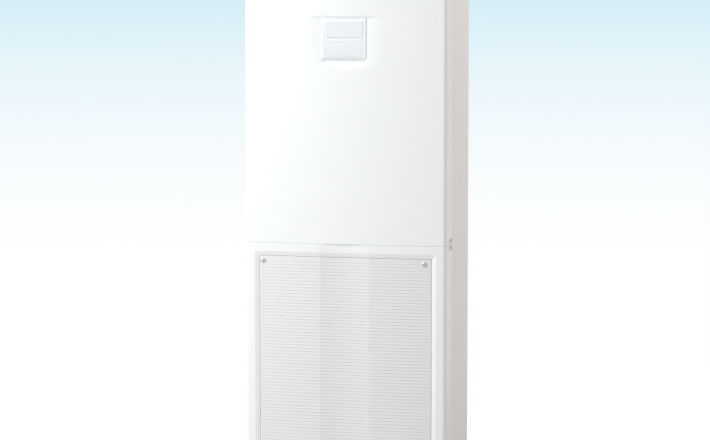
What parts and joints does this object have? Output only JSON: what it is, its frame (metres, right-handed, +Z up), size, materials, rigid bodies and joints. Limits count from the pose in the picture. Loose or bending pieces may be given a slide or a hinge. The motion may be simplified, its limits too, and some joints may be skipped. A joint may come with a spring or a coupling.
{
  "type": "floor standing air conditioner",
  "caption": "Tall floor-standing air conditioner indoor unit: convex front, controller in a scooped recess, suction grille and filter below, drum fans, sloping coil, louvred outlet.",
  "frame": {"origin": "on the floor, under the middle of the cabinet", "axes": "+Z up, the front faces -Y, +X is the right side seen from the front"},
  "size_m": [0.6, 0.35, 1.85],
  "materials": {
    "front_white": "moulded white, satin",
    "cabinet_paint": "warm light grey paint",
    "grille_grey": "moulded light grey",
    "louvre_white": "moulded white",
    "window": "clear cover over a blank display",
    "galvanised": "galvanised sheet",
    "plated_screw": "zinc plated",
    "fins": "bare fins",
    "copper": "drawn copper tube",
    "brass_nut": "turned brass",
    "foam": "expanded foam",
    "dark_plastic": "moulded dark grey",
    "pan_plastic": "moulded grey",
    "motor_paint": "black paint",
    "shaft_steel": "ground steel",
    "board_green": "circuit board",
    "net": "woven plastic net",
    "button_grey": "soft key"
  },
  "bodies": {
    "cabinet": {"air_guide": "foam", "base_frame": "cabinet_paint", "casing_screws": "plated_screw", "chassis_frame": "galvanised", "circuit_board": "board_green", "coil_end_plates": "galvanised", "coil_fins": "fins", "coil_tubes": "copper", "control_box": "galvanised", "control_box_cover": "galvanised", "controller_housing": "front_white", "controller_window": "window", "drain_pan": "pan_plastic", "drain_socket": "pan_plastic", "duct_plate": "galvanised", "fan_deck": "galvanised", "fan_housing_left": "galvanised", "fan_housing_right": "galvanised", "fan_motor": "motor_paint", "filter_rails": "grille_grey", "flare_unions": "brass_nut", "gas_pipe": "copper", "grille_hinge_pins": "plated_screw", "left_side_panel": "cabinet_paint", "liquid_pipe": "copper", "lower_front_panel": "front_white", "motor_bracket": "galvanised", "outlet_frame": "front_white", "panel_catches": "galvanised", "rear_panel": "cabinet_paint", "right_side_panel": "cabinet_paint", "swing_motor": "pan_plastic", "terminal_block": "dark_plastic", "top_cover": "cabinet_paint", "upper_front_panel": "front_white", "wall_bracket": "cabinet_paint"},
    "fan_rotor": {"fan_shaft": "shaft_steel", "impeller_left": "dark_plastic", "impeller_right": "dark_plastic"},
    "louvre_1": {"louvre_blade_1": "louvre_white"},
    "louvre_2": {"louvre_blade_2": "louvre_white"},
    "louvre_3": {"louvre_blade_3": "louvre_white"},
    "louvre_4": {"louvre_blade_4": "louvre_white"},
    "louvre_5": {"louvre_blade_5": "louvre_white"},
    "louvre_bar": {"louvre_link": "louvre_white"},
    "vane_body_1": {"vane_1": "dark_plastic"},
    "vane_body_2": {"vane_2": "dark_plastic"},
    "vane_body_3": {"vane_3": "dark_plastic"},
    "vane_body_4": {"vane_4": "dark_plastic"},
    "vane_body_5": {"vane_5": "dark_plastic"},
    "vane_body_6": {"vane_6": "dark_plastic"},
    "vane_bar": {"vane_link": "dark_plastic"},
    "grille": {"suction_grille": "grille_grey", "grille_screws": "plated_screw"},
    "filter": {"filter_frame": "grille_grey", "filter_mesh": "net"},
    "flip_cover": {"controller_cover": "front_white"},
    "key_down": {"button_down": "button_grey"},
    "key_power": {"button_power": "button_grey"},
    "key_up": {"button_up": "button_grey"}
  },
  "joints": [
    {"name": "fan_spin", "type": "hinge", "parent": "cabinet", "child": "fan_rotor", "pos_m": [0, 0.038, 0.4], "axis": [1, 0, 0], "continuous": true},
    {"name": "louvre_swing_1", "type": "hinge", "parent": "cabinet", "child": "louvre_1", "pos_m": [0, -0.14, 1.5788], "axis": [1, 0, 0], "range_deg": [-30, 35]},
    {"name": "louvre_swing_2", "type": "hinge", "parent": "cabinet", "child": "louvre_2", "pos_m": [0, -0.14, 1.6324], "axis": [1, 0, 0], "range_deg": [-30, 35]},
    {"name": "louvre_swing_3", "type": "hinge", "parent": "cabinet", "child": "louvre_3", "pos_m": [0, -0.14, 1.686], "axis": [1, 0, 0], "range_deg": [-30, 35]},
    {"name": "louvre_swing_4", "type": "hinge", "parent": "cabinet", "child": "louvre_4", "pos_m": [0, -0.14, 1.7396], "axis": [1, 0, 0], "range_deg": [-30, 35]},
    {"name": "louvre_swing_5", "type": "hinge", "parent": "cabinet", "child": "louvre_5", "pos_m": [0, -0.14, 1.7932], "axis": [1, 0, 0], "range_deg": [-30, 35]},
    {"name": "louvre_bar_slide", "type": "slide", "parent": "cabinet", "child": "louvre_bar", "axis": [0, 0, 1], "range_m": [-0.007, 0.0082]},
    {"name": "vane_swing_1", "type": "hinge", "parent": "cabinet", "child": "vane_body_1", "pos_m": [-0.21, -0.092, 1.686], "axis": [0, 0, 1], "range_deg": [-35, 35]},
    {"name": "vane_swing_2", "type": "hinge", "parent": "cabinet", "child": "vane_body_2", "pos_m": [-0.126, -0.092, 1.686], "axis": [0, 0, 1], "range_deg": [-35, 35]},
    {"name": "vane_swing_3", "type": "hinge", "parent": "cabinet", "child": "vane_body_3", "pos_m": [-0.042, -0.092, 1.686], "axis": [0, 0, 1], "range_deg": [-35, 35]},
    {"name": "vane_swing_4", "type": "hinge", "parent": "cabinet", "child": "vane_body_4", "pos_m": [0.042, -0.092, 1.686], "axis": [0, 0, 1], "range_deg": [-35, 35]},
    {"name": "vane_swing_5", "type": "hinge", "parent": "cabinet", "child": "vane_body_5", "pos_m": [0.126, -0.092, 1.686], "axis": [0, 0, 1], "range_deg": [-35, 35]},
    {"name": "vane_swing_6", "type": "hinge", "parent": "cabinet", "child": "vane_body_6", "pos_m": [0.21, -0.092, 1.686], "axis": [0, 0, 1], "range_deg": [-35, 35]},
    {"name": "vane_bar_slide", "type": "slide", "parent": "cabinet", "child": "vane_bar", "axis": [1, 0, 0], "range_m": [-0.0082, 0.0082]},
    {"name": "grille_hinge", "type": "hinge", "parent": "cabinet", "child": "grille", "pos_m": [0, -0.159, 0.1213], "axis": [1, 0, 0], "range_deg": [0, 75]},
    {"name": "filter_lift", "type": "slide", "parent": "cabinet", "child": "filter", "axis": [0, 0, 1], "range_m": [0, 0.03]},
    {"name": "cover_flip", "type": "hinge", "parent": "cabinet", "child": "flip_cover", "pos_m": [0, -0.17375, 1.35125], "axis": [1, 0, 0], "range_deg": [0, 100]},
    {"name": "key_down_press", "type": "slide", "parent": "cabinet", "child": "key_down", "axis": [0, 1, 0], "range_m": [0, 0.0008], "stiffness_N_per_m": 400, "springref_m": -0.0005},
    {"name": "key_power_press", "type": "slide", "parent": "cabinet", "child": "key_power", "axis": [0, 1, 0], "range_m": [0, 0.0008], "stiffness_N_per_m": 400, "springref_m": -0.0005},
    {"name": "key_up_press", "type": "slide", "parent": "cabinet", "child": "key_up", "axis": [0, 1, 0], "range_m": [0, 0.0008], "stiffness_N_per_m": 400, "springref_m": -0.0005}
  ],
  "couplings": [
    {"joint": "louvre_swing_1", "follows": "louvre_swing_3", "ratio": 1},
    {"joint": "louvre_swing_2", "follows": "louvre_swing_3", "ratio": 1},
    {"joint": "louvre_swing_4", "follows": "louvre_swing_3", "ratio": 1},
    {"joint": "louvre_swing_5", "follows": "louvre_swing_3", "ratio": 1},
    {"joint": "louvre_bar_slide", "follows": "louvre_swing_3", "m_per_rad": 0.013145},
    {"joint": "vane_swing_2", "follows": "vane_swing_1", "ratio": 1},
    {"joint": "vane_swing_3", "follows": "vane_swing_1", "ratio": 1},
    {"joint": "vane_swing_4", "follows": "vane_swing_1", "ratio": 1},
    {"joint": "vane_swing_5", "follows": "vane_swing_1", "ratio": 1},
    {"joint": "vane_swing_6", "follows": "vane_swing_1", "ratio": 1},
    {"joint": "vane_bar_slide", "follows": "vane_swing_1", "m_per_rad": -0.013145}
  ]
}
